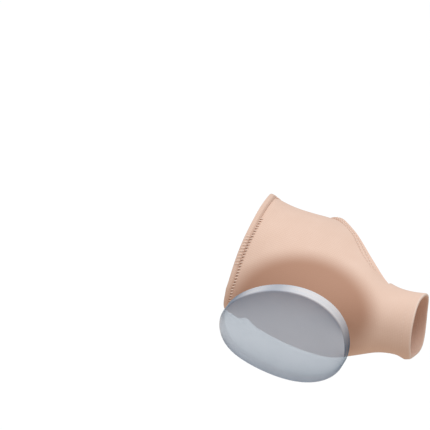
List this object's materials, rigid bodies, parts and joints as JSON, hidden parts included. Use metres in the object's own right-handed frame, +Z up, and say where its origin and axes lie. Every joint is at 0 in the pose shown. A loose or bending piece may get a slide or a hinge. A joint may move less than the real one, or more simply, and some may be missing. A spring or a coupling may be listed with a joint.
{
  "type": "gel bunion pad",
  "caption": "Stretch-knit forefoot sleeve with a big-toe tube and turned hems, and an egg-shaped translucent gel pad on its medial side over the bunion.",
  "frame": {"origin": "middle of the midfoot mouth, where the foot goes in", "axes": "+X to the toes, +Y to the lateral side of a left foot, +Z up towards the instep"},
  "size_m": [0.0951, 0.0878, 0.0656],
  "materials": {
    "knit": "matte beige stretch knit",
    "gel": "glossy translucent blue-grey gel"
  },
  "bodies": {
    "root": {"sleeve": "knit", "midfoot_hem": "knit", "forefoot_hem": "knit", "toe_hem": "knit", "gel_pad": "gel"}
  },
  "joints": []
}
